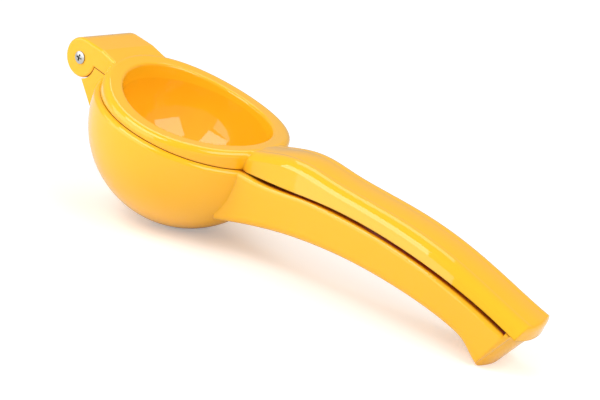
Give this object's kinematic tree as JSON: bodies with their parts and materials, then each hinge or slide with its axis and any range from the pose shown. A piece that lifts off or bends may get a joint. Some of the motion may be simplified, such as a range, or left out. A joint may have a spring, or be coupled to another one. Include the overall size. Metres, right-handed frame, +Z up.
{
  "type": "hinged citrus squeezer",
  "caption": "Two-lever hand squeezer: a hinged plunger lever presses half a lemon into a drain-holed bowl.",
  "frame": {"origin": "middle of the bounding box at the level of the table that the closed squeezer lies on", "axes": "+X from the hinge towards the handles' tips, +Z up, the closed squeezer lying on its bowl and its lower tip"},
  "size_m": [0.2194, 0.082, 0.0657],
  "materials": {
    "enamel": "gloss",
    "pin_steel": "satin"
  },
  "bodies": {
    "bowl": {"bowl_lever": "enamel"},
    "press": {"press_lever": "enamel", "hinge_barrel": "pin_steel", "hinge_screw": "pin_steel"}
  },
  "joints": [
    {"name": "press_hinge", "type": "hinge", "parent": "bowl", "child": "press", "pos_m": [-0.10154, 0, 0.05751], "axis": [0, -1, 0], "range_deg": [0, 115]}
  ]
}
